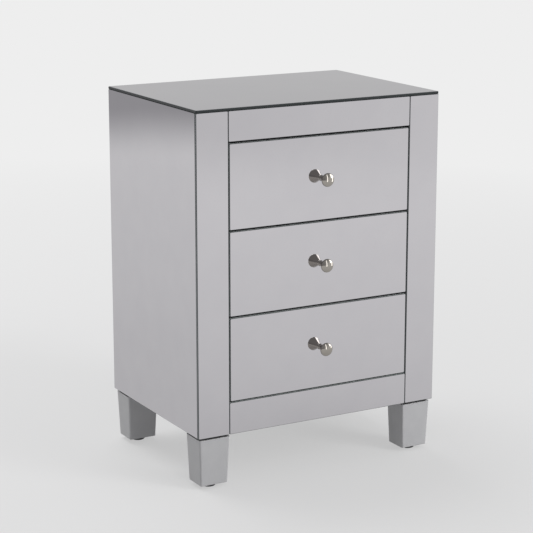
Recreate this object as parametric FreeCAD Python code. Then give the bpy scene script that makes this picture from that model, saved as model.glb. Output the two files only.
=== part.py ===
import FreeCAD, Part
import math
import os
from FreeCAD import Vector

# A three-drawer nightstand: a board cabinet and three drawer fronts faced with mirror glass,
# on four tapered lacquered legs. Lengths are in millimetres.
# X is the width, with the left side at -X as seen from the front. The front faces -Y, and +Z is up.
# The origin is on the floor, at the middle of the whole footprint, knobs included.

# Overall sizes of the cabinet above the legs
width = 457.0               # over the faces of the side mirrors
body_depth = 327.0          # front mirror faces to the rear face of the back panel
body_height = 538.0         # underside of the base board to the face of the top mirror

# Mirror glass
glass = 4.0
glass_arris = 0.8           # ground edge of every pane, on its polished face
glass_joint = 0.4           # between neighbouring panes

# Cabinet boards
board = 15.0                # sides, top and base
frame_board = 18.0          # stiles and rails
back_thickness = 6.0
stile_width = 57.0          # face width of each stile
top_rail_height = 50.0      # face height under the top mirror
bottom_rail_height = 54.0

# Legs
leg_height = 80.0
leg_top_width = 56.0
leg_top_depth = 49.0
leg_taper = 3.0             # how far each face leans in from top to bottom
leg_inset = 3.5             # leg top behind the faces of the cabinet
leg_corner = 3.0            # eased corners
leg_foot_round = 1.5        # eased edges under the foot
leg_plate_thickness = 4.0
leg_plate_margin = 4.0      # plate edge inside the edge of the leg top
leg_bolt_dia = 8.0
leg_bolt_grip = 34.0        # length inside the leg
leg_bolt_cover = 3.0        # wood left above the bolt in the base board
glide_height = 7.0
glide_dia = 24.0
glide_round = 2.5
glide_nail_dia = 3.0
glide_nail_length = 14.0

# Drawers
drawer_names = ["lower", "middle", "upper"]
drawer_gap = 3.0            # above each drawer front
drawer_edge_gap = 2.0       # beside the drawer fronts, and under the lowest
front_board = 15.0
box_board = 12.0            # sides and back of the drawer box
box_lift = 14.0             # lower edge of the box above the lower edge of the front
box_drop = 20.0             # upper edge of the box below the upper edge of the front
box_edge_round = 2.5
box_back_clearance = 32.0   # behind the closed drawer
bottom_thickness = 4.0
bottom_raise = 10.0         # underside of the bottom panel above the lower edge of the box
groove_depth = 5.0
groove_fit = 0.1

# Knobs
knob_projection = 25.0      # in front of the glass
knob_head_dia = 22.5
knob_neck_dia = 8.0
knob_foot_dia = 10.0
knob_foot_rise = 3.0        # height of the cove between foot and neck
knob_neck_length = 5.0      # glass to the start of the cone
knob_rim = 1.0              # straight edge of the head between cone and rounding
knob_rim_round = 2.4
knob_face_bend = 24.0       # radius of the domed face

# Ball runners, one pair to a drawer
runner_width = 12.7
runner_height = 45.0
runner_sheet = 1.2
runner_play = 0.3           # between the lip of one member and the web of the other
runner_setback = 1.0        # behind the front frame
runner_rear_margin = 16.0   # drawer box behind the end of the runner
runner_overlap = 70.0       # length still engaged when the drawer is fully out
ball_dia = 5.5
ball_pitch = 12.0
race_clearance = 0.15
cage_sheet = 0.8
cage_clearance = 0.4        # between a cage and the lips it runs between
cage_margin = 3.0           # cage inside the engaged length, at each end
cage_ball_fit = 0.1

# Screws
screw_fit = 0.1             # round each screw in its hole
screw_tip_cover = 2.0       # wood left beyond the tip of a drawer runner screw
recess_width = 0.9
recess_length = 3.6
recess_depth = 1.2
runner_screw_dia = 3.5
runner_screw_length = 16.0
runner_screw_head_dia = 7.0
runner_screw_head = 2.2
runner_screw_inset = 35.0   # from each end of the runner
knob_screw_dia = 4.0
knob_screw_grip = 12.0      # length inside the knob
knob_screw_head_dia = 8.0
knob_screw_head = 2.6
knob_hole_fit = 1.0         # round the knob screw in the glass
cabinet_screw_dia = 5.0
cabinet_screw_length = 50.0
cabinet_screw_head_dia = 9.0
cabinet_screw_inset = 70.0  # from the front and rear edges of the side board
back_screw_dia = 3.5
back_screw_length = 30.0
back_screw_head_dia = 7.0
back_screw_inset = 40.0     # from the ends of the back panel
back_screws_per_side = 4

# Levels
body_z = glide_height + leg_height + leg_plate_thickness
body_top = body_z + body_height
top_board_top = body_top - glass
top_board_z = top_board_top - board
base_top = body_z + board

# Depths
front_y = (knob_projection - body_depth) / 2
back_y = front_y + body_depth
frame_y = front_y + glass
frame_back = frame_y + frame_board
back_panel_y = back_y - back_thickness
box_front = frame_y + front_board
box_rear = back_panel_y - box_back_clearance

# Half widths
half = width / 2
board_half = half - glass
inner_half = board_half - board
side_board_x = (board_half + inner_half) / 2
opening_half = half - stile_width
front_half = opening_half - drawer_edge_gap
box_half = opening_half - runner_width
box_inner_half = box_half - box_board

# Drawer heights
opening_z = body_z + bottom_rail_height
opening_top = top_board_top - top_rail_height
drawer_count = len(drawer_names)
drawer_pitch = (opening_top - opening_z - drawer_edge_gap) / drawer_count
drawer_front_height = drawer_pitch - drawer_gap
box_height = drawer_front_height - box_lift - box_drop

# Runner lengths
runner_front = frame_back + runner_setback
runner_length = box_rear - runner_rear_margin - runner_front
drawer_travel = runner_length - runner_overlap
cage_length = runner_overlap - 2 * cage_margin
cage_front = runner_front + drawer_travel / 2 + cage_margin

# Runner section: across is measured from the batten towards the drawer, up from the runner's middle line
runner_half = runner_height / 2
ball_up = runner_half - runner_sheet - race_clearance - ball_dia / 2
rail_half = ball_up - ball_dia / 2 - race_clearance
cabinet_lip_up = ball_up + cage_sheet / 2 + cage_clearance
rail_lip_up = ball_up - cage_sheet / 2 - cage_clearance
cabinet_lip_across = runner_width - runner_sheet - runner_play
ball_across = cabinet_lip_across - runner_sheet - race_clearance - ball_dia / 2
rail_lip_across = ball_across - ball_dia / 2 - race_clearance - runner_sheet

SIDES = {"left": -1, "right": 1}
UP = Vector(0, 0, 1)
DOWN = Vector(0, 0, -1)
FORWARD = Vector(0, -1, 0)

nodes = {}


def block(x, y, z):
    """Box between the two values given for each axis."""
    low = Vector(min(x), min(y), min(z))
    return Part.makeBox(abs(x[1] - x[0]), abs(y[1] - y[0]), abs(z[1] - z[0]), low)


def pane(x, y, z, outward):
    """Mirror pane with a ground edge round the face that points outward."""
    plain = block(x, y, z)
    face = max(plain.Faces, key=lambda f: f.normalAt(0, 0).dot(outward))
    return plain.makeChamfer(glass_arris, face.Edges)


def cut_all(shape, tools):
    """The shape less every tool."""
    for tool in tools:
        shape = shape.cut(tool)
    return shape


def aim(shape, at, direction):
    """Turn a shape built along +Z to another direction and put its origin at a point."""
    shape.Placement = FreeCAD.Placement(at, FreeCAD.Rotation(UP, direction))
    return shape


def cross_recess(top):
    """Cross slot that goes down from the given height."""
    long_half = recess_length / 2
    short_half = recess_width / 2
    depth = (top, top + recess_depth)
    along = block((-long_half, long_half), (-short_half, short_half), depth)
    across = block((-short_half, short_half), (-long_half, long_half), depth)
    return along.fuse(across)


def countersunk_screw(at, direction, dia, length, head_dia, grow=0.0):
    """Flat-headed wood screw, its head flush at the point. With grow it is the hole for that screw."""
    head = (head_dia - dia) / 2
    radius = dia / 2 + grow
    cone = Part.makeCone(head_dia / 2 + grow, radius, head)
    shank = Part.makeCylinder(radius, length - dia - head, Vector(0, 0, head))
    tip = Part.makeCone(radius, dia / 8 + grow, dia + grow, Vector(0, 0, length - dia))
    screw = cone.fuse([shank, tip]).removeSplitter()
    if not grow:
        screw = screw.cut(cross_recess(0.0))
    return aim(screw, at, direction)


def pan_screw(at, direction, dia, length, head_dia, head):
    """Pan-headed screw, the underside of its head at the point."""
    cap = Part.makeCylinder(head_dia / 2, head, Vector(0, 0, -head))
    crown = [edge for edge in cap.Edges if edge.BoundBox.ZMax < recess_depth - head]
    cap = cap.makeFillet(head / 2, crown)
    shank = Part.makeCylinder(dia / 2, length)
    screw = cap.fuse(shank).removeSplitter().cut(cross_recess(-head))
    return aim(screw, at, direction)


def bore(at, direction, dia, length, clearance=screw_fit):
    """Round hole for a shank, from the point along the direction."""
    return Part.makeCylinder(dia / 2 + clearance, length + clearance, at, direction)


def add_cabinet_screws():
    """Screws that hold the side boards between the base and top boards. Returns their holes."""
    ends = (frame_back + cabinet_screw_inset, back_panel_y - cabinet_screw_inset)
    spots = []
    for side in SIDES.values():
        for y in ends:
            spots.append((Vector(side * side_board_x, y, body_z), UP))
            spots.append((Vector(side * side_board_x, y, top_board_top), DOWN))
    size = (cabinet_screw_dia, cabinet_screw_length, cabinet_screw_head_dia)
    nodes["cabinet_screws"] = Part.makeCompound([countersunk_screw(*spot, *size) for spot in spots])
    return [countersunk_screw(*spot, *size, grow=screw_fit) for spot in spots]


def add_back_screws():
    """Screws through the back panel into the rear edges of the side boards. Returns their holes."""
    low = base_top + back_screw_inset
    step = (top_board_z - back_screw_inset - low) / (back_screws_per_side - 1)
    spots = []
    for side in SIDES.values():
        for index in range(back_screws_per_side):
            spots.append((Vector(side * side_board_x, back_y, low + index * step), FORWARD))
    size = (back_screw_dia, back_screw_length, back_screw_head_dia)
    nodes["back_panel_screws"] = Part.makeCompound([countersunk_screw(*spot, *size) for spot in spots])
    return [countersunk_screw(*spot, *size, grow=screw_fit) for spot in spots]


def add_cabinet_boards(cabinet_holes, back_holes, leg_holes):
    """Top, base, sides, back panel and the front frame of stiles and rails."""
    full = (-board_half, board_half)
    between = (base_top, top_board_z)
    top = block(full, (frame_y, back_y), (top_board_z, top_board_top))
    base = block(full, (frame_y, back_y), (body_z, base_top))
    back = block(full, (back_panel_y, back_y), between)
    nodes["top_board"] = cut_all(top, cabinet_holes)
    nodes["base_board"] = cut_all(base, cabinet_holes + leg_holes)
    nodes["back_panel"] = cut_all(back, back_holes)
    for name, side in SIDES.items():
        board_x = (side * inner_half, side * board_half)
        side_board = block(board_x, (frame_back, back_panel_y), between)
        nodes[f"side_board_{name}"] = cut_all(side_board, cabinet_holes + back_holes)
        stile_x = (side * opening_half, side * board_half)
        nodes[f"stile_{name}"] = block(stile_x, (frame_y, frame_back), between)
    rail_x = (-opening_half, opening_half)
    nodes["top_rail"] = block(rail_x, (frame_y, frame_back), (opening_top, top_board_z))
    nodes["bottom_rail"] = block(rail_x, (frame_y, frame_back), (base_top, opening_z))


def add_cabinet_mirrors():
    """Panes glued to the top, the sides and the front frame."""
    upright = (body_z, top_board_top - glass_joint)
    face_y = (front_y, frame_y)
    nodes["top_mirror"] = pane((-half, half), (front_y, back_y), (top_board_top, body_top), UP)
    for name, side in SIDES.items():
        outer_x = (side * board_half, side * half)
        behind_stile = (frame_y + glass_joint, back_y)
        nodes[f"side_mirror_{name}"] = pane(outer_x, behind_stile, upright, Vector(side, 0, 0))
        stile_x = (side * opening_half, side * half)
        nodes[f"stile_mirror_{name}"] = pane(stile_x, face_y, upright, FORWARD)
    rail_half_width = opening_half - glass_joint
    rail_x = (-rail_half_width, rail_half_width)
    nodes["top_rail_mirror"] = pane(rail_x, face_y, (opening_top, upright[1]), FORWARD)
    nodes["bottom_rail_mirror"] = pane(rail_x, face_y, (body_z, opening_z), FORWARD)


def leg_rectangle(x, y, z, lean):
    """Closed outline of the leg at one height, drawn in by the lean."""
    dx = leg_top_width / 2 - lean
    dy = leg_top_depth / 2 - lean
    corners = [Vector(x + sx * dx, y + sy * dy, z) for sx, sy in ((-1, -1), (1, -1), (1, 1), (-1, 1))]
    return Part.makePolygon(corners + corners[:1])


def add_legs():
    """Tapered legs with their plates, bolts and glides. Returns the bolt holes for the base board."""
    leg_top = glide_height + leg_height
    bolt_z = leg_top - leg_bolt_grip
    bolt_length = base_top - leg_bolt_cover - bolt_z
    plate_dx = leg_top_width / 2 - leg_plate_margin
    plate_dy = leg_top_depth / 2 - leg_plate_margin
    reach = half - leg_inset - leg_top_width / 2
    rows = {
        "front": front_y + leg_inset + leg_top_depth / 2,
        "back": back_y - leg_inset - leg_top_depth / 2,
    }
    plates, bolts, glides, holes = [], [], [], []
    for row, y in rows.items():
        for name, side in SIDES.items():
            x = side * reach
            foot = Vector(x, y, glide_height)
            outlines = [leg_rectangle(x, y, glide_height, leg_taper), leg_rectangle(x, y, leg_top, 0.0)]
            leg = Part.makeLoft(outlines, True, True)
            corners = [edge for edge in leg.Edges if edge.BoundBox.ZLength > leg_height / 2]
            leg = leg.makeFillet(leg_corner, corners)
            sole = [edge for edge in leg.Edges if edge.BoundBox.ZMax < glide_height + leg_foot_round]
            leg = leg.makeFillet(leg_foot_round, sole)
            bolt_hole = bore(Vector(x, y, bolt_z - screw_fit), UP, leg_bolt_dia, bolt_length + screw_fit)
            nail_hole = bore(foot, UP, glide_nail_dia, glide_nail_length)
            nodes[f"leg_{row}_{name}"] = cut_all(leg, [bolt_hole, nail_hole])
            plate = block((x - plate_dx, x + plate_dx), (y - plate_dy, y + plate_dy), (leg_top, body_z))
            plates.append(plate.cut(bolt_hole))
            bolts.append(Part.makeCylinder(leg_bolt_dia / 2, bolt_length, Vector(x, y, bolt_z)))
            disc = Part.makeCylinder(glide_dia / 2, glide_height, Vector(x, y, 0))
            rubbing_edge = [edge for edge in disc.Edges if edge.BoundBox.ZMax < glide_height / 2]
            nail = Part.makeCylinder(glide_nail_dia / 2, glide_nail_length, foot)
            glides.append(disc.makeFillet(glide_round, rubbing_edge).fuse(nail))
            holes.append(bolt_hole)
    nodes["leg_plates"] = Part.makeCompound(plates)
    nodes["leg_bolts"] = Part.makeCompound(bolts)
    nodes["foot_glides"] = Part.makeCompound(glides)
    return holes


def runner_point(side, across, y, z):
    """Point in the runner's section on one side of the opening."""
    return Vector(side * (opening_half - across), y, z)


def runner_member(side, z, section):
    """Sheet steel member drawn from the upper half of its section and its mirror image."""
    outline = section + [(across, -up) for across, up in reversed(section)]
    points = [runner_point(side, across, runner_front, z + up) for across, up in outline]
    return Part.Face(Part.makePolygon(points + points[:1])).extrude(Vector(0, runner_length, 0))


def cabinet_member(side, z):
    """Outer channel, its web against the batten and its lips turned in over the balls."""
    return runner_member(side, z, [
        (0.0, runner_half),
        (cabinet_lip_across, runner_half),
        (cabinet_lip_across, cabinet_lip_up),
        (cabinet_lip_across - runner_sheet, cabinet_lip_up),
        (cabinet_lip_across - runner_sheet, runner_half - runner_sheet),
        (runner_sheet, runner_half - runner_sheet),
    ])


def drawer_member(side, z):
    """Inner channel, its web against the drawer side and its lips turned out behind the balls."""
    return runner_member(side, z, [
        (runner_width, rail_half),
        (rail_lip_across + runner_sheet, rail_half),
        (rail_lip_across + runner_sheet, rail_lip_up),
        (rail_lip_across, rail_lip_up),
        (rail_lip_across, rail_half - runner_sheet),
        (runner_width - runner_sheet, rail_half - runner_sheet),
    ])


def ball_cage(side, z):
    """Upper and lower cage strips of one runner, with their balls."""
    count = int(cage_length / ball_pitch)
    first = cage_front + (cage_length - (count - 1) * ball_pitch) / 2
    strip_x = [runner_point(side, across, 0, 0).x for across in (rail_lip_across, cabinet_lip_across)]
    pieces = []
    for up in (-ball_up, ball_up):
        strip_z = (z + up - cage_sheet / 2, z + up + cage_sheet / 2)
        strip = block(strip_x, (cage_front, cage_front + cage_length), strip_z)
        for index in range(count):
            centre = runner_point(side, ball_across, first + index * ball_pitch, z + up)
            seat = centre - UP * cage_sheet
            strip = strip.cut(bore(seat, UP, ball_dia, 2 * cage_sheet, cage_ball_fit))
            pieces.append(Part.makeSphere(ball_dia / 2, centre))
        pieces.append(strip)
    return pieces


def runner_screw_spots(side, z, across):
    """Screw places near both ends of a runner, on one of its webs."""
    ends = (runner_front + runner_screw_inset, runner_front + runner_length - runner_screw_inset)
    return [runner_point(side, across, y, z) for y in ends]


def knob_profile():
    """Half section of the knob as radius and distance in front of the glass."""
    neck = knob_neck_dia / 2
    foot = knob_foot_dia / 2
    rim = knob_head_dia / 2
    round_in = rim - knob_rim_round
    dome_centre = knob_projection - knob_face_bend
    round_forward = math.sqrt((knob_face_bend - knob_rim_round) ** 2 - round_in ** 2)
    rim_front = dome_centre + round_forward
    rim_back = rim_front - knob_rim
    dome_turn = math.atan2(round_in, round_forward)

    def at(radius, distance):
        return Vector(radius, front_y - distance, 0)

    def arc(start, middle, end):
        return Part.Arc(at(*start), at(*middle), at(*end)).toShape()

    def cove():
        """Arc from the neck out to the foot on the glass."""
        out = foot - neck
        bend = (out * out + knob_foot_rise * knob_foot_rise) / (2 * out)
        half_turn = math.atan2(knob_foot_rise, bend - out) / 2
        middle = (neck + bend * (1 - math.cos(half_turn)), knob_foot_rise - bend * math.sin(half_turn))
        return arc((neck, knob_foot_rise), middle, (foot, 0))

    def on_round(turn):
        """Point of the rounding of the rim, by the turn of its normal from the knob's axis."""
        return round_in + knob_rim_round * math.sin(turn), rim_front + knob_rim_round * math.cos(turn)

    def on_dome(turn):
        """Point of the domed face, which the rounding meets without a crease."""
        return knob_face_bend * math.sin(turn), dome_centre + knob_face_bend * math.cos(turn)

    return [
        Part.makeLine(at(0, 0), at(foot, 0)),
        cove(),
        Part.makeLine(at(neck, knob_foot_rise), at(neck, knob_neck_length)),
        Part.makeLine(at(neck, knob_neck_length), at(rim, rim_back)),
        Part.makeLine(at(rim, rim_back), at(rim, rim_front)),
        arc((rim, rim_front), on_round((math.pi / 2 + dome_turn) / 2), on_dome(dome_turn)),
        arc(on_dome(dome_turn), on_dome(dome_turn / 2), (0, knob_projection)),
        Part.makeLine(at(0, knob_projection), at(0, 0)),
    ]


def make_knob(z):
    """Turned knob with a cone-shaped head, bored from behind for its screw."""
    section = Part.Face(Part.Wire(knob_profile()))
    knob = section.revolve(Vector(0, 0, 0), Vector(0, 1, 0), 360)
    knob = knob.cut(bore(Vector(0, front_y, 0), FORWARD, knob_screw_dia, knob_screw_grip))
    knob.translate(Vector(0, 0, z))
    return knob


def add_drawer(name, front_z):
    """One drawer: front, mirror, box, knob, its half of the runners and its screws."""
    prefix = f"{name}_drawer"
    middle_z = front_z + drawer_front_height / 2
    box_z = front_z + box_lift
    box_top = box_z + box_height
    runner_z = box_z + box_height / 2
    bottom_z = box_z + bottom_raise
    bottom_top = bottom_z + bottom_thickness
    front_x = (-front_half, front_half)
    front_span = (front_z, front_z + drawer_front_height)
    panel_half = box_inner_half + groove_depth
    panel_y = (box_front - groove_depth, box_rear)
    groove = block(
        (-panel_half - groove_fit, panel_half + groove_fit),
        (panel_y[0] - groove_fit, panel_y[1]),
        (bottom_z - groove_fit, bottom_top + groove_fit),
    )
    screw_seat = Vector(0, box_front, middle_z)
    screw_length = front_board + glass + knob_screw_grip
    screw_hole = bore(screw_seat, FORWARD, knob_screw_dia, screw_length)
    glass_hole = bore(Vector(0, frame_y, middle_z), FORWARD, knob_screw_dia, glass, knob_hole_fit)

    front = block(front_x, (frame_y, box_front), front_span)
    nodes[f"{prefix}_front"] = cut_all(front, [groove, screw_hole])
    nodes[f"{prefix}_mirror"] = pane(front_x, (front_y, frame_y), front_span, FORWARD).cut(glass_hole)
    nodes[f"{prefix}_bottom"] = block((-panel_half, panel_half), panel_y, (bottom_z, bottom_top))
    back_x = (-box_inner_half, box_inner_half)
    nodes[f"{prefix}_back"] = block(back_x, (box_rear - box_board, box_rear), (bottom_top, box_top))
    nodes[f"{prefix}_knob"] = make_knob(middle_z)

    head = (knob_screw_head_dia, knob_screw_head)
    screws = [pan_screw(screw_seat, FORWARD, knob_screw_dia, screw_length, *head)]
    members = []
    for side_name, side in SIDES.items():
        inward = Vector(-side, 0, 0)
        plain = block((side * box_inner_half, side * box_half), (box_front, box_rear), (box_z, box_top))
        upper_edges = [edge for edge in plain.Edges if edge.BoundBox.ZMin > runner_z]
        rims = [edge for edge in upper_edges if edge.BoundBox.YLength > box_board]
        panel = plain.makeFillet(box_edge_round, rims).cut(groove)
        member = drawer_member(side, runner_z)
        bite = box_board - screw_tip_cover
        for spot in runner_screw_spots(side, runner_z, runner_width - runner_sheet):
            hole = bore(spot, inward, runner_screw_dia, runner_sheet + bite)
            panel = panel.cut(hole)
            member = member.cut(hole)
            head = (runner_screw_head_dia, runner_screw_head)
            screws.append(pan_screw(spot, inward, runner_screw_dia, runner_sheet + bite, *head))
        nodes[f"{prefix}_side_{side_name}"] = panel
        members.append(member)
    nodes[f"{prefix}_runners"] = Part.makeCompound(members)
    nodes[f"{prefix}_screws"] = Part.makeCompound(screws)
    return runner_z


def add_cabinet_runners(levels):
    """Battens on the side boards, and on them the fixed runner members, their screws and the ball cages."""
    battens, screws = [], []
    for name, z in levels.items():
        members, cages = [], []
        for side in SIDES.values():
            outward = Vector(side, 0, 0)
            batten_x = (side * opening_half, side * inner_half)
            batten = block(batten_x, (frame_back, back_panel_y), (z - runner_half, z + runner_half))
            member = cabinet_member(side, z)
            for spot in runner_screw_spots(side, z, runner_sheet):
                hole = bore(spot, outward, runner_screw_dia, runner_screw_length)
                batten = batten.cut(hole)
                member = member.cut(hole)
                head = (runner_screw_head_dia, runner_screw_head)
                screws.append(pan_screw(spot, outward, runner_screw_dia, runner_screw_length, *head))
            battens.append(batten)
            members.append(member)
            cages.extend(ball_cage(side, z))
        nodes[f"{name}_cabinet_runners"] = Part.makeCompound(members)
        nodes[f"{name}_ball_cages"] = Part.makeCompound(cages)
    nodes["runner_battens"] = Part.makeCompound(battens)
    nodes["runner_screws"] = Part.makeCompound(screws)


add_cabinet_boards(add_cabinet_screws(), add_back_screws(), add_legs())
add_cabinet_mirrors()
runner_levels = {}
for level, drawer_name in enumerate(drawer_names):
    drawer_z = opening_z + drawer_edge_gap + level * drawer_pitch
    runner_levels[drawer_name] = add_drawer(drawer_name, drawer_z)
add_cabinet_runners(runner_levels)

os.makedirs("parts", exist_ok=True)
for node, shape in nodes.items():
    shape.exportStep(f"parts/{node}.step")
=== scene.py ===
import math

import bmesh
import bpy
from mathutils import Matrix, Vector


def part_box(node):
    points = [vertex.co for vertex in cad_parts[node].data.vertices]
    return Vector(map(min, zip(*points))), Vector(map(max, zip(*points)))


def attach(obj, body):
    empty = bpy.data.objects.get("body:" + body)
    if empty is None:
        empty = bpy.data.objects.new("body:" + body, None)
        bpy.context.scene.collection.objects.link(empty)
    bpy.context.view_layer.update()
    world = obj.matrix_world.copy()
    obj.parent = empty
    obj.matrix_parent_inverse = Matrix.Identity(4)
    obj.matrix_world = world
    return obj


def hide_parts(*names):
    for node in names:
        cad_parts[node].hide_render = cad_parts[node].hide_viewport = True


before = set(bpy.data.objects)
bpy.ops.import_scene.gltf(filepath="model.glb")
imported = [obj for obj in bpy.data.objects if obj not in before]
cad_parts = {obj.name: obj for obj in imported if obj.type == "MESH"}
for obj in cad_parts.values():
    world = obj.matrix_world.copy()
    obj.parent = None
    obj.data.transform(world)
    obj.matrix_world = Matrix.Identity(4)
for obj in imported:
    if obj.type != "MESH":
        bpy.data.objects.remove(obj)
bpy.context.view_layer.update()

# Cabinet boards
# Fibreboard, cut square, glued and screwed into a box with a front frame of stiles and rails.
# The mirror panes are glued over it, so its paint shows only behind, below and in the drawer openings.

MM = 0.001


def linear(hex_colour):
    """Linear colour, with alpha, of an sRGB hex value."""
    channels = [int(hex_colour[i:i + 2], 16) / 255 for i in (1, 3, 5)]
    return [c / 12.92 if c <= 0.04045 else ((c + 0.055) / 1.055) ** 2.4 for c in channels] + [1.0]


def add_node(tree, kind, inputs=None, **settings):
    """Add one shader node with its settings. An input is a value, a socket, or a node's first output."""
    node = tree.nodes.new("ShaderNode" + kind)
    for name, value in settings.items():
        setattr(node, name, value)
    for socket, value in (inputs or {}).items():
        if isinstance(value, bpy.types.Node):
            value = value.outputs[0]
        if isinstance(value, bpy.types.NodeSocket):
            tree.links.new(value, node.inputs[socket])
        else:
            node.inputs[socket].default_value = value
    return node


def new_material(name):
    """Empty material, its node tree, and the place on the object that its patterns are drawn by."""
    material = bpy.data.materials.new(name)
    material.use_nodes = True
    tree = material.node_tree
    tree.nodes.clear()
    place = add_node(tree, "TexCoord").outputs["Object"]
    return material, tree, place


def per_metre(size_mm):
    """Texture scale at which one feature of a pattern is that many millimetres."""
    return 1 / (size_mm * MM)


def finish_nodes(material, *names):
    """Give carried-over nodes their finish."""
    for name in names:
        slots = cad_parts[name].data.materials
        for index in range(len(slots)):
            slots[index] = material


def sprayed_fibreboard():
    """Silver-grey lacquer sprayed on sanded fibreboard: satin, softly mottled, with a fine orange peel."""
    peel_mm = 2.6
    mottle_mm = 70
    material, tree, place = new_material("silver_grey_sprayed_fibreboard")
    mottle = add_node(tree, "TexNoise", {"Vector": place, "Scale": per_metre(mottle_mm), "Detail": 4.0})
    peel = add_node(tree, "TexNoise", {"Vector": place, "Scale": per_metre(peel_mm), "Detail": 1.0})
    shades = {"Color1": linear("#7d7d80"), "Color2": linear("#8e8d90")}
    colour = add_node(tree, "MixRGB", {"Fac": mottle, **shades})
    gloss = add_node(tree, "MapRange", {"Value": mottle, "To Min": 0.40, "To Max": 0.54})
    bump = add_node(tree, "Bump", {"Height": peel, "Strength": 0.12, "Distance": 0.2 * MM})
    shader = add_node(tree, "BsdfPrincipled", {
        "Base Color": colour, "Roughness": gloss, "Normal": bump, "Metallic": 0.25,
    })
    add_node(tree, "OutputMaterial", {"Surface": shader})
    return material


fibreboard = sprayed_fibreboard()
finish_nodes(fibreboard, "top_board", "base_board", "back_panel", "side_board_left", "side_board_right")
finish_nodes(fibreboard, "stile_left", "stile_right", "top_rail", "bottom_rail")


# Screws and leg bolts
# Steel wood screws with a cross recess, and plain bolts, zinc plated and passivated to a bluish silver.
# The screws are driven into the boards and through the runners, and the bolts up into the base board.

def zinc_plate():
    """Bright zinc on drawn steel: bluish silver, lightly clouded, with drawing lines along the length."""
    cloud_mm = 9
    line_mm = 0.8  # drawing lines are nearer 0.1 mm, and are drawn coarser so that they show
    material, tree, place = new_material("bright_zinc_plated_steel")
    cloud = add_node(tree, "TexNoise", {"Vector": place, "Scale": per_metre(cloud_mm), "Detail": 3.0})
    along = add_node(tree, "Mapping", {"Vector": place, "Scale": (1.0, 0.02, 1.0)})
    lines = add_node(tree, "TexNoise", {"Vector": along, "Scale": per_metre(line_mm)})
    shades = {"Color1": linear("#a9adb3"), "Color2": linear("#c6c9cd")}
    colour = add_node(tree, "MixRGB", {"Fac": cloud, **shades})
    gloss = add_node(tree, "MapRange", {"Value": lines, "To Min": 0.22, "To Max": 0.40})
    shader = add_node(tree, "BsdfPrincipled", {"Base Color": colour, "Roughness": gloss, "Metallic": 1.0})
    add_node(tree, "OutputMaterial", {"Surface": shader})
    return material


zinc = zinc_plate()
finish_nodes(zinc, "cabinet_screws", "back_panel_screws", "runner_screws", "leg_bolts")


# Legs
# Solid wood blocks, sawn to a taper, with eased corners, filled and sprayed with silver lacquer.
# Each is bolted through a steel plate to the base board.

def silver_lacquer():
    """Aluminium-pigment lacquer under a clear coat: glossy silver grey, faintly clouded and sparkling."""
    cloud_mm = 22
    flake_mm = 0.9  # the flakes are nearer 0.03 mm, and are drawn coarser so that they show
    material, tree, place = new_material("glossy_silver_lacquer_on_wood")
    cloud = add_node(tree, "TexNoise", {"Vector": place, "Scale": per_metre(cloud_mm), "Detail": 3.0})
    flakes = add_node(tree, "TexNoise", {"Vector": place, "Scale": per_metre(flake_mm)})
    shades = {"Color1": linear("#a9a9ab"), "Color2": linear("#b3b3b4")}
    colour = add_node(tree, "MixRGB", {"Fac": cloud, **shades})
    gloss = add_node(tree, "MapRange", {"Value": flakes, "To Min": 0.26, "To Max": 0.36})
    shader = add_node(tree, "BsdfPrincipled", {
        "Base Color": colour, "Roughness": gloss, "Metallic": 0.15,
        "Coat Weight": 0.6, "Coat Roughness": 0.04,
    })
    add_node(tree, "OutputMaterial", {"Surface": shader})
    return material


lacquer = silver_lacquer()
finish_nodes(lacquer, "leg_front_left", "leg_front_right", "leg_back_left", "leg_back_right")


# Leg plates
# Flat steel plates between leg and cabinet, stove enamelled black.
# They are a little smaller than the leg top, which leaves a shaded recess above each leg, and their black
# is partly painted shade that darkens that line further.

def black_enamel_painted_shade():
    """Thin black stove enamel on steel: almost matt, slightly pebbled. Its black is partly painted shade
    for the gap above each leg.
    """
    pebble_mm = 1.2
    material, tree, place = new_material("black_steel_painted_shade")
    pebble = add_node(tree, "TexNoise", {"Vector": place, "Scale": per_metre(pebble_mm), "Detail": 2.0})
    # near-black plate colour, partly painted shade in the gap above each leg
    shades = {"Color1": linear("#0f1011"), "Color2": linear("#1c1d1f")}
    colour = add_node(tree, "MixRGB", {"Fac": pebble, **shades})
    bump = add_node(tree, "Bump", {"Height": pebble, "Strength": 0.2, "Distance": 0.1 * MM})
    shader = add_node(tree, "BsdfPrincipled", {"Base Color": colour, "Normal": bump, "Roughness": 0.48})
    add_node(tree, "OutputMaterial", {"Surface": shader})
    return material


finish_nodes(black_enamel_painted_shade(), "leg_plates")


# Foot glides
# Moulded nylon discs with a nail, driven into the foot of each leg.
# Their soles scuff grey where they slide on the floor.

def moulded_nylon():
    """Dark grey nylon: dull and faintly waxy, with fine scuffs."""
    scuff_mm = 1.5
    material, tree, place = new_material("dark_grey_moulded_nylon")
    scuffs = add_node(tree, "TexNoise", {"Vector": place, "Scale": per_metre(scuff_mm), "Detail": 5.0})
    shades = {"Color1": linear("#38383a"), "Color2": linear("#505052")}
    colour = add_node(tree, "MixRGB", {"Fac": scuffs, **shades})
    gloss = add_node(tree, "MapRange", {"Value": scuffs, "To Min": 0.45, "To Max": 0.65})
    shader = add_node(tree, "BsdfPrincipled", {"Base Color": colour, "Roughness": gloss, "IOR": 1.53})
    add_node(tree, "OutputMaterial", {"Surface": shader})
    return material


finish_nodes(moulded_nylon(), "foot_glides")


# Mirror panes of the cabinet
# Silvered float glass, cut square with dubbed corners and a ground arris round the face.
# The panes are glued to the boards, the top one over the upright ones and the stiles over the sides.

ARRIS = 0.8 * MM
BACK_SEAM = 0.3 * MM
DUBBED_CORNER = 1.0 * MM
KNOB_HOLE_RADIUS = 3.0 * MM
KNOB_HOLE_SIDES = 24


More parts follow.
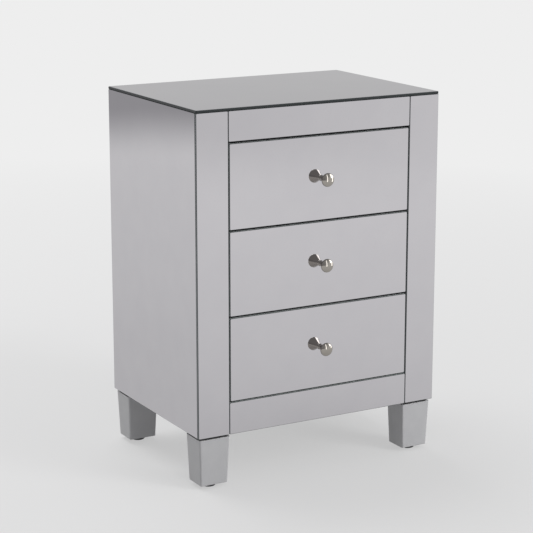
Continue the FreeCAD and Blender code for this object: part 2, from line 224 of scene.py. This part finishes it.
def silvered_glass():
    """Back-silvered float glass: a neutral grey mirror, hardly rippled, with a faint film of dust."""
    ripple_mm = 160
    film_mm = 45
    material, tree, place = new_material("silvered_float_glass")
    film = add_node(tree, "TexNoise", {"Vector": place, "Scale": per_metre(film_mm), "Detail": 5.0})
    ripple = add_node(tree, "TexNoise", {"Vector": place, "Scale": per_metre(ripple_mm), "Detail": 0.0})
    shades = {"Color1": linear("#cbc9cd"), "Color2": linear("#d1cfd2")}
    colour = add_node(tree, "MixRGB", {"Fac": film, **shades})
    gloss = add_node(tree, "MapRange", {"Value": film, "To Min": 0.01, "To Max": 0.05})
    bump = add_node(tree, "Bump", {"Height": ripple, "Strength": 0.3, "Distance": 1.0 * MM})
    shader = add_node(tree, "BsdfPrincipled", {
        "Base Color": colour, "Roughness": gloss, "Normal": bump,
        "Metallic": 1.0, "Specular Tint": linear("#e1e1e1"),
    })
    add_node(tree, "OutputMaterial", {"Surface": shader})
    return material


def ground_arris():
    """Edge bevel ground on a wheel: frosted grey over the silver."""
    grit_mm = 0.5  # wheel marks are nearer 0.1 mm, and are drawn coarser so that they show
    material, tree, place = new_material("ground_glass_arris")
    grit = add_node(tree, "TexNoise", {"Vector": place, "Scale": per_metre(grit_mm)})
    shades = {"Color1": linear("#44484a"), "Color2": linear("#5a5e60")}
    colour = add_node(tree, "MixRGB", {"Fac": grit, **shades})
    shader = add_node(tree, "BsdfPrincipled", {"Base Color": colour, "Metallic": 0.3, "Roughness": 0.34})
    add_node(tree, "OutputMaterial", {"Surface": shader})
    return material


def polished_glass_edge():
    """Polished edge of the top pane: dark green grey, because the glass leads the light away inside."""
    streak_mm = 3
    material, tree, place = new_material("polished_float_glass_edge")
    streaks = add_node(tree, "TexNoise", {"Vector": place, "Scale": per_metre(streak_mm), "Detail": 3.0})
    shades = {"Color1": linear("#141a1b"), "Color2": linear("#222b2c")}
    colour = add_node(tree, "MixRGB", {"Fac": streaks, **shades})
    shader = add_node(tree, "BsdfPrincipled", {"Base Color": colour, "Roughness": 0.22, "IOR": 1.52})
    add_node(tree, "OutputMaterial", {"Surface": shader})
    return material


def seamed_glass_edge():
    """Edge only seamed with a stone, on the stiles and sides: half clear, a middle green grey."""
    grit_mm = 0.6  # stone marks are nearer 0.2 mm, and are drawn coarser so that they show
    material, tree, place = new_material("seamed_float_glass_edge")
    grit = add_node(tree, "TexNoise", {"Vector": place, "Scale": per_metre(grit_mm), "Detail": 3.0})
    shades = {"Color1": linear("#6f7475"), "Color2": linear("#898e8e")}
    colour = add_node(tree, "MixRGB", {"Fac": grit, **shades})
    shader = add_node(tree, "BsdfPrincipled", {"Base Color": colour, "Roughness": 0.5, "IOR": 1.52})
    add_node(tree, "OutputMaterial", {"Surface": shader})
    return material


def ground_glass_edge():
    """Edge ground flat on a fine wheel, on the rails and drawers: frosted, a pale green grey."""
    grit_mm = 0.6  # wheel marks are nearer 0.1 mm, and are drawn coarser so that they show
    material, tree, place = new_material("ground_float_glass_edge")
    grit = add_node(tree, "TexNoise", {"Vector": place, "Scale": per_metre(grit_mm), "Detail": 3.0})
    shades = {"Color1": linear("#b9c2bf"), "Color2": linear("#ced5d2")}
    colour = add_node(tree, "MixRGB", {"Fac": grit, **shades})
    shader = add_node(tree, "BsdfPrincipled", {"Base Color": colour, "Roughness": 0.6, "IOR": 1.52})
    add_node(tree, "OutputMaterial", {"Surface": shader})
    return material


PANE_FINISHES = [
    silvered_glass(),
    ground_arris(),
    polished_glass_edge(),
    seamed_glass_edge(),
    ground_glass_edge(),
]
FACE, BEVEL, POLISHED_EDGE, SEAMED_EDGE, GROUND_EDGE = range(len(PANE_FINISHES))


def pane_outline(low, high, inset):
    """Corners of a rectangle with dubbed corners, drawn in by the inset."""
    left, bottom = (value + inset for value in low)
    right, top = (value - inset for value in high)
    cut = DUBBED_CORNER
    return [
        (left + cut, bottom), (right - cut, bottom), (right, bottom + cut), (right, top - cut),
        (right - cut, top), (left + cut, top), (left, top - cut), (left, bottom + cut),
    ]


def hole_outline(centre):
    """Corners of the round hole for the knob screw."""
    turns = [2 * math.pi * index / KNOB_HOLE_SIDES for index in range(KNOB_HOLE_SIDES)]
    across = [KNOB_HOLE_RADIUS * math.cos(turn) for turn in turns]
    up = [KNOB_HOLE_RADIUS * math.sin(turn) for turn in turns]
    return [(centre[0] + a, centre[1] + b) for a, b in zip(across, up)]


def make_pane(node, body, outward, edge, hole=False):
    """Pane in the place of its node, with its polished face to the side named by outward, such as -y."""
    low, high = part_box(node)
    depth_axis = "xyz".index(outward[1])
    sign = -1 if outward[0] == "-" else 1
    flat_axes = [axis for axis in range(3) if axis != depth_axis]
    back = low[depth_axis] if sign > 0 else high[depth_axis]
    thickness = high[depth_axis] - low[depth_axis]
    corners = [[corner[axis] for axis in flat_axes] for corner in (low, high)]
    mesh = bmesh.new()

    def ring(outline, level):
        points = []
        for flat in outline:
            point = Vector()
            point[flat_axes[0]], point[flat_axes[1]] = flat
            point[depth_axis] = back + sign * level
            points.append(mesh.verts.new(point))
        return points

    def wall(lower, upper, finish):
        for index in range(len(lower)):
            corners_of_face = [lower[index - 1], lower[index], upper[index], upper[index - 1]]
            mesh.faces.new(corners_of_face).material_index = finish

    def cap(loops, finish):
        edges = []
        for loop in loops:
            for index in range(len(loop)):
                pair = (loop[index - 1], loop[index])
                edges.append(mesh.edges.get(pair) or mesh.edges.new(pair))
        filled = bmesh.ops.triangle_fill(mesh, edges=edges, use_beauty=True)
        for face in (item for item in filled["geom"] if isinstance(item, bmesh.types.BMFace)):
            face.material_index = finish

    levels = [(0.0, BACK_SEAM), (BACK_SEAM, 0.0), (thickness - ARRIS, 0.0), (thickness, ARRIS)]
    rings = [ring(pane_outline(*corners, inset), level) for level, inset in levels]
    for index, finish in enumerate((edge, edge, BEVEL)):
        wall(rings[index], rings[index + 1], finish)
    back_loops, face_loops = [rings[0]], [rings[-1]]
    if hole:
        centre = [(a + b) / 2 for a, b in zip(*corners)]
        holes = [ring(hole_outline(centre), level) for level in (0.0, thickness)]
        wall(*holes, edge)
        back_loops.append(holes[0])
        face_loops.append(holes[1])
    cap(back_loops, edge)
    cap(face_loops, FACE)
    bmesh.ops.recalc_face_normals(mesh, faces=mesh.faces)
    data = bpy.data.meshes.new(f"{node}_pane")
    mesh.to_mesh(data)
    mesh.free()
    for material in PANE_FINISHES:
        data.materials.append(material)
    pane = bpy.data.objects.new(f"{node}_pane", data)
    bpy.context.scene.collection.objects.link(pane)
    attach(pane, body)
    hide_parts(node)


make_pane("top_mirror", "cabinet", "+z", POLISHED_EDGE)
for mirror, outward, edge in (
    ("side_mirror_left", "-x", SEAMED_EDGE),
    ("side_mirror_right", "+x", SEAMED_EDGE),
    ("stile_mirror_left", "-y", SEAMED_EDGE),
    ("stile_mirror_right", "-y", SEAMED_EDGE),
    ("top_rail_mirror", "-y", GROUND_EDGE),
    ("bottom_rail_mirror", "-y", GROUND_EDGE),
):
    make_pane(mirror, "cabinet", outward, edge)


# Runner battens
# Planed pine strips, glued to the side boards to bring the runners out to the width of the opening.
# They are left bare.

def planed_pine():
    """Planed pine: pale yellow early wood with darker, reddish late-wood lines along the length."""
    ring_mm = 7
    fibre_mm = 1.0  # wood fibres are nearer 0.05 mm, and are drawn coarser so that they show
    material, tree, place = new_material("planed_pine")
    along = add_node(tree, "Mapping", {"Vector": place, "Scale": (1.0, 0.05, 1.0)})
    rings = add_node(tree, "TexNoise", {
        "Vector": along, "Scale": per_metre(ring_mm), "Detail": 2.0, "Distortion": 0.6,
    })
    fibres = add_node(tree, "TexNoise", {"Vector": along, "Scale": per_metre(fibre_mm)})
    late = add_node(tree, "MapRange", {"Value": rings, "From Min": 0.52, "From Max": 0.62})
    shades = {"Color1": linear("#dfc598"), "Color2": linear("#c08f55")}
    colour = add_node(tree, "MixRGB", {"Fac": late, **shades})
    bump = add_node(tree, "Bump", {"Height": fibres, "Strength": 0.25, "Distance": 0.2 * MM})
    shader = add_node(tree, "BsdfPrincipled", {"Base Color": colour, "Normal": bump, "Roughness": 0.55})
    add_node(tree, "OutputMaterial", {"Surface": shader})
    return material


finish_nodes(planed_pine(), "runner_battens")


# Ball runners
# Rolled steel channels, zinc plated, with strips of hardened balls between the two members.
# One member is screwed to the batten and the other to the drawer side.

def bearing_steel():
    """Hardened and ground steel, oiled: bright and a little dark in the grain."""
    film_mm = 4
    material, tree, place = new_material("oiled_bearing_steel")
    film = add_node(tree, "TexNoise", {"Vector": place, "Scale": per_metre(film_mm), "Detail": 2.0})
    shades = {"Color1": linear("#8d8f92"), "Color2": linear("#a9aaac")}
    colour = add_node(tree, "MixRGB", {"Fac": film, **shades})
    gloss = add_node(tree, "MapRange", {"Value": film, "To Min": 0.10, "To Max": 0.22})
    shader = add_node(tree, "BsdfPrincipled", {"Base Color": colour, "Roughness": gloss, "Metallic": 1.0})
    add_node(tree, "OutputMaterial", {"Surface": shader})
    return material


balls = bearing_steel()
LEVELS = ("lower", "middle", "upper")
for level in LEVELS:
    finish_nodes(zinc, f"{level}_cabinet_runners", f"{level}_drawer_runners", f"{level}_drawer_screws")
    finish_nodes(balls, f"{level}_ball_cages")


# Drawer boxes
# Birch plywood sides and back, glued to a fibreboard front, with a thin hardboard bottom in a groove.
# The wood is clear lacquered, and its plies show along the upper edges.

PLY_MM = 1.35


def birch_plywood(name, across):
    """Lacquered birch plywood: pale, with soft wavy figure on the face and striped plies on the edge."""
    figure_mm = 26
    fibre_mm = 1.1  # birch fibres are nearer 0.05 mm, and are drawn coarser so that they show
    material, tree, place = new_material(name)
    axes = add_node(tree, "SeparateXYZ", {"Vector": place})
    stretch = (1.0, 0.08, 1.0) if across == "X" else (0.08, 1.0, 1.0)
    along = add_node(tree, "Mapping", {"Vector": place, "Scale": stretch})
    figure = add_node(tree, "TexNoise", {
        "Vector": along, "Scale": per_metre(figure_mm), "Detail": 4.0, "Distortion": 1.2,
    })
    fibres = add_node(tree, "TexNoise", {"Vector": along, "Scale": per_metre(fibre_mm)})
    face_shades = {"Color1": linear("#d2b48a"), "Color2": linear("#e3cba6")}
    face = add_node(tree, "MixRGB", {"Fac": figure, **face_shades})
    half_turns = math.pi * per_metre(PLY_MM)
    phase = add_node(tree, "Math", {0: axes.outputs[across], 1: half_turns}, operation="MULTIPLY")
    plies = add_node(tree, "Math", {0: phase}, operation="SINE")
    sharp = add_node(tree, "MapRange", {"Value": plies, "From Min": -0.3, "From Max": 0.3})
    ply_shades = {"Color1": linear("#9d7448"), "Color2": linear("#dcc195")}
    edge = add_node(tree, "MixRGB", {"Fac": sharp, **ply_shades})
    normal = add_node(tree, "NewGeometry").outputs["Normal"]
    facing = add_node(tree, "SeparateXYZ", {"Vector": normal})
    broad = add_node(tree, "Math", {0: facing.outputs[across]}, operation="ABSOLUTE")
    on_face = add_node(tree, "MapRange", {"Value": broad, "From Min": 0.6, "From Max": 0.8})
    colour = add_node(tree, "MixRGB", {"Fac": on_face, "Color1": edge, "Color2": face})
    bump = add_node(tree, "Bump", {"Height": fibres, "Strength": 0.15, "Distance": 0.1 * MM})
    shader = add_node(tree, "BsdfPrincipled", {
        "Base Color": colour, "Normal": bump, "Roughness": 0.46,
        "Coat Weight": 0.2, "Coat Roughness": 0.3,
    })
    add_node(tree, "OutputMaterial", {"Surface": shader})
    return material


def faced_hardboard():
    """Hardboard with a grey paper foil: even, matt, with a faint flecked print."""
    fleck_mm = 3.5
    material, tree, place = new_material("grey_foiled_hardboard")
    flecks = add_node(tree, "TexNoise", {"Vector": place, "Scale": per_metre(fleck_mm), "Detail": 6.0})
    shades = {"Color1": linear("#a9a7a4"), "Color2": linear("#bdbbb8")}
    colour = add_node(tree, "MixRGB", {"Fac": flecks, **shades})
    shader = add_node(tree, "BsdfPrincipled", {"Base Color": colour, "Roughness": 0.58})
    add_node(tree, "OutputMaterial", {"Surface": shader})
    return material


ply_sides = birch_plywood("birch_plywood_sides", "X")
ply_backs = birch_plywood("birch_plywood_backs", "Y")
hardboard = faced_hardboard()
for level in LEVELS:
    finish_nodes(fibreboard, f"{level}_drawer_front")
    finish_nodes(ply_sides, f"{level}_drawer_side_left", f"{level}_drawer_side_right")
    finish_nodes(ply_backs, f"{level}_drawer_back")
    finish_nodes(hardboard, f"{level}_drawer_bottom")


# Drawer mirrors
# The same silvered glass as the cabinet, one pane to a drawer, glued to its front board.
# Each is drilled in the middle for the knob screw.

for level in LEVELS:
    make_pane(f"{level}_drawer_mirror", f"{level}_drawer", "-y", GROUND_EDGE, hole=True)


# Knobs
# Turned brass, a cone from a slim neck to a rounded rim and a domed face, nickel plated and polished.
# A screw from inside the drawer holds each one against the glass.

def polished_nickel():
    """Polished nickel plate: a bright mirror with a warm cast, and traces of turning under the plate."""
    turning_mm = 0.7  # turning marks are nearer 0.1 mm, and are drawn coarser so that they show
    material, tree, place = new_material("polished_nickel_plate")
    trace = add_node(tree, "TexNoise", {"Vector": place, "Scale": per_metre(turning_mm), "Detail": 2.0})
    shades = {"Color1": linear("#a09b94"), "Color2": linear("#aba69f")}
    colour = add_node(tree, "MixRGB", {"Fac": trace, **shades})
    gloss = add_node(tree, "MapRange", {"Value": trace, "To Min": 0.04, "To Max": 0.09})
    shader = add_node(tree, "BsdfPrincipled", {"Base Color": colour, "Roughness": gloss, "Metallic": 1.0})
    add_node(tree, "OutputMaterial", {"Surface": shader})
    return material


finish_nodes(polished_nickel(), *(f"{level}_drawer_knob" for level in LEVELS))


# Studio
# A pale round floor that fades into the backdrop, under two wide soft lamps and a lower key lamp in front.
# The backdrop is pale behind and at the right, dimmer in front and at the left, and darker overhead.
# The mirror glass shows all of it, and the floor lies off centre so that the left side shows more floor.

FLOOR_CENTRE = (-0.14, 0.25, 0.0)
FLOOR_SIDES = 96
FLOOR_FADE_START = 2.8
FLOOR_FADE_END = 4.1
FLOOR_PALING_START = 0.6
FLOOR_FILL = 0.55


def pale_floor():
    """Matt pale floor that fades out at its rim. Part of its paleness is fill, and more farther out."""
    material, tree, place = new_material("matt_pale_floor")
    cover = add_node(tree, "BsdfPrincipled", {
        "Base Color": linear("#d2d2d2"), "Roughness": 0.9, "Specular IOR Level": 0.1,
    })
    fill = add_node(tree, "Emission", {"Color": linear("#eeeeee"), "Strength": 1.0})
    rays = add_node(tree, "LightPath").outputs
    plain, mirrored, through = (rays[f"Is {kind} Ray"] for kind in ("Camera", "Glossy", "Transmission"))
    seen = add_node(tree, "Math", {0: plain, 1: mirrored}, operation="ADD")
    seen = add_node(tree, "Math", {0: seen, 1: through}, operation="ADD", use_clamp=True)
    distance = add_node(tree, "VectorMath", {0: place}, operation="LENGTH").outputs["Value"]
    paling = {"From Min": FLOOR_PALING_START, "From Max": FLOOR_FADE_START, "To Min": FLOOR_FILL}
    share = add_node(tree, "MapRange", {"Value": distance, **paling})
    share_seen = add_node(tree, "Math", {0: seen, 1: share}, operation="MULTIPLY")
    lit = add_node(tree, "MixShader", {0: share_seen, 1: cover, 2: fill})
    rim = {"From Min": FLOOR_FADE_END, "From Max": FLOOR_FADE_START}
    solid = add_node(tree, "MapRange", {"Value": distance, **rim}, interpolation_type="SMOOTHSTEP")
    beyond = add_node(tree, "BsdfTransparent")
    faded = add_node(tree, "MixShader", {0: solid, 1: beyond, 2: lit})
    add_node(tree, "OutputMaterial", {"Surface": faded})
    return material


floor_mesh = bmesh.new()
bmesh.ops.create_circle(floor_mesh, cap_ends=True, segments=FLOOR_SIDES, radius=FLOOR_FADE_END)
floor_data = bpy.data.meshes.new("studio_floor")
floor_mesh.to_mesh(floor_data)
floor_mesh.free()
floor_data.materials.append(pale_floor())
floor = bpy.data.objects.new("studio_floor", floor_data)
floor.location = FLOOR_CENTRE
bpy.context.scene.collection.objects.link(floor)


def add_softbox(name, place, target, size, watts):
    """Soft lamp of a width and a height at a place, facing a target."""
    lamp = bpy.data.lights.new(name, "AREA")
    lamp.shape = "RECTANGLE"
    lamp.size, lamp.size_y = size
    lamp.energy = watts
    softbox = bpy.data.objects.new(name, lamp)
    softbox.location = place
    softbox.rotation_euler = (Vector(target) - Vector(place)).to_track_quat("-Z", "Y").to_euler()
    bpy.context.scene.collection.objects.link(softbox)
    return softbox


room_lamps = [
    add_softbox("front_softbox", (2.3, -3.9, 3.2), (1.9, -3.2, 0.0), (2.6, 2.6), 66),
    add_softbox("rear_softbox", (-0.6, 1.9, 3.2), (-0.5, 1.5, 0.0), (2.6, 2.6), 76),
    add_softbox("key_softbox", (2.4, -3.6, 1.6), (0.0, 0.0, 0.3), (1.2, 1.2), 54),
]

# Mirror glass would show these lamps as white patches, so reflections leave them out.
for lamp in room_lamps:
    lamp.visible_glossy = False

# Legs, with their plates and bolts, and knobs have lamps of their own, which light nothing else.
legs = bpy.data.collections.new("lit_legs")
knobs = bpy.data.collections.new("lit_knobs")
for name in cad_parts:
    if name.startswith("leg_"):
        legs.objects.link(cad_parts[name])
    elif name.endswith("_knob"):
        knobs.objects.link(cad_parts[name])
for receivers, name, place, target, size, watts in (
    (legs, "leg_softbox", (3.0, -1.7, 1.5), (0.0, 0.0, 0.3), (1.9, 1.9), 72),
    (knobs, "knob_softbox", (3.0, -1.7, 1.5), (0.0, 0.0, 0.3), (1.9, 1.9), 34),
    (knobs, "right_knob_strip", (1.10, -0.68, 0.75), (0.0, -0.2, 0.75), (0.20, 1.4), 2.4),
    (knobs, "front_knob_strip", (0.36, -1.34, 0.75), (0.0, -0.2, 0.75), (0.14, 1.4), 1.5),
):
    lamp = add_softbox(name, place, target, size, watts)
    lamp.visible_camera = False
    lamp.light_linking.receiver_collection = receivers

DIM_SIDE = (-0.97, -0.24, 0.0)
DIM_START = -0.4
DIM_END = 0.36
CEILING_START = 0.0
CEILING_END = 0.55

world = bpy.data.worlds.new("studio_backdrop")
bpy.context.scene.world = world
world.use_nodes = True
sky = world.node_tree
direction = add_node(sky, "TexCoord").outputs["Generated"]
height = add_node(sky, "SeparateXYZ", {"Vector": direction}).outputs["Z"]
side = add_node(sky, "VectorMath", {0: direction, 1: DIM_SIDE}, operation="DOT_PRODUCT")
leftward = side.outputs["Value"]
dim = add_node(sky, "MapRange", {"Value": leftward, "From Min": DIM_START, "From Max": DIM_END})
raised = add_node(sky, "MapRange", {"Value": height, "From Min": CEILING_START, "From Max": CEILING_END})
walls = add_node(sky, "MixRGB", {"Fac": dim, "Color1": linear("#eeeeee"), "Color2": linear("#9a999c")})
backdrop = add_node(sky, "MixRGB", {"Fac": raised, "Color1": walls, "Color2": linear("#a9a9ab")})
sky.links.new(backdrop.outputs["Color"], sky.nodes["Background"].inputs["Color"])


# Camera
# It stands to the left of the front and looks a little down, far enough away to flatten the perspective.
# Its place is measured from the lower front corner of the cabinet on that side.

PHOTO_PIXELS = 533
FOCAL_PIXELS = 1800
CAMERA_FROM_CORNER = Vector((-1.2643, -2.4726, 0.9501))
CAMERA_TURN = math.radians(-29.35)
CAMERA_DOWN = math.radians(13.39)

stile_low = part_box("stile_mirror_left")[0]
lens = bpy.data.cameras.new("camera")
lens.lens = lens.sensor_width * FOCAL_PIXELS / PHOTO_PIXELS
camera = bpy.data.objects.new("camera", lens)
camera.location = stile_low + CAMERA_FROM_CORNER
camera.rotation_euler = (math.pi / 2 - CAMERA_DOWN, 0.0, CAMERA_TURN)
bpy.context.scene.collection.objects.link(camera)
bpy.context.scene.camera = camera
bpy.context.scene.view_settings.view_transform = "Standard"
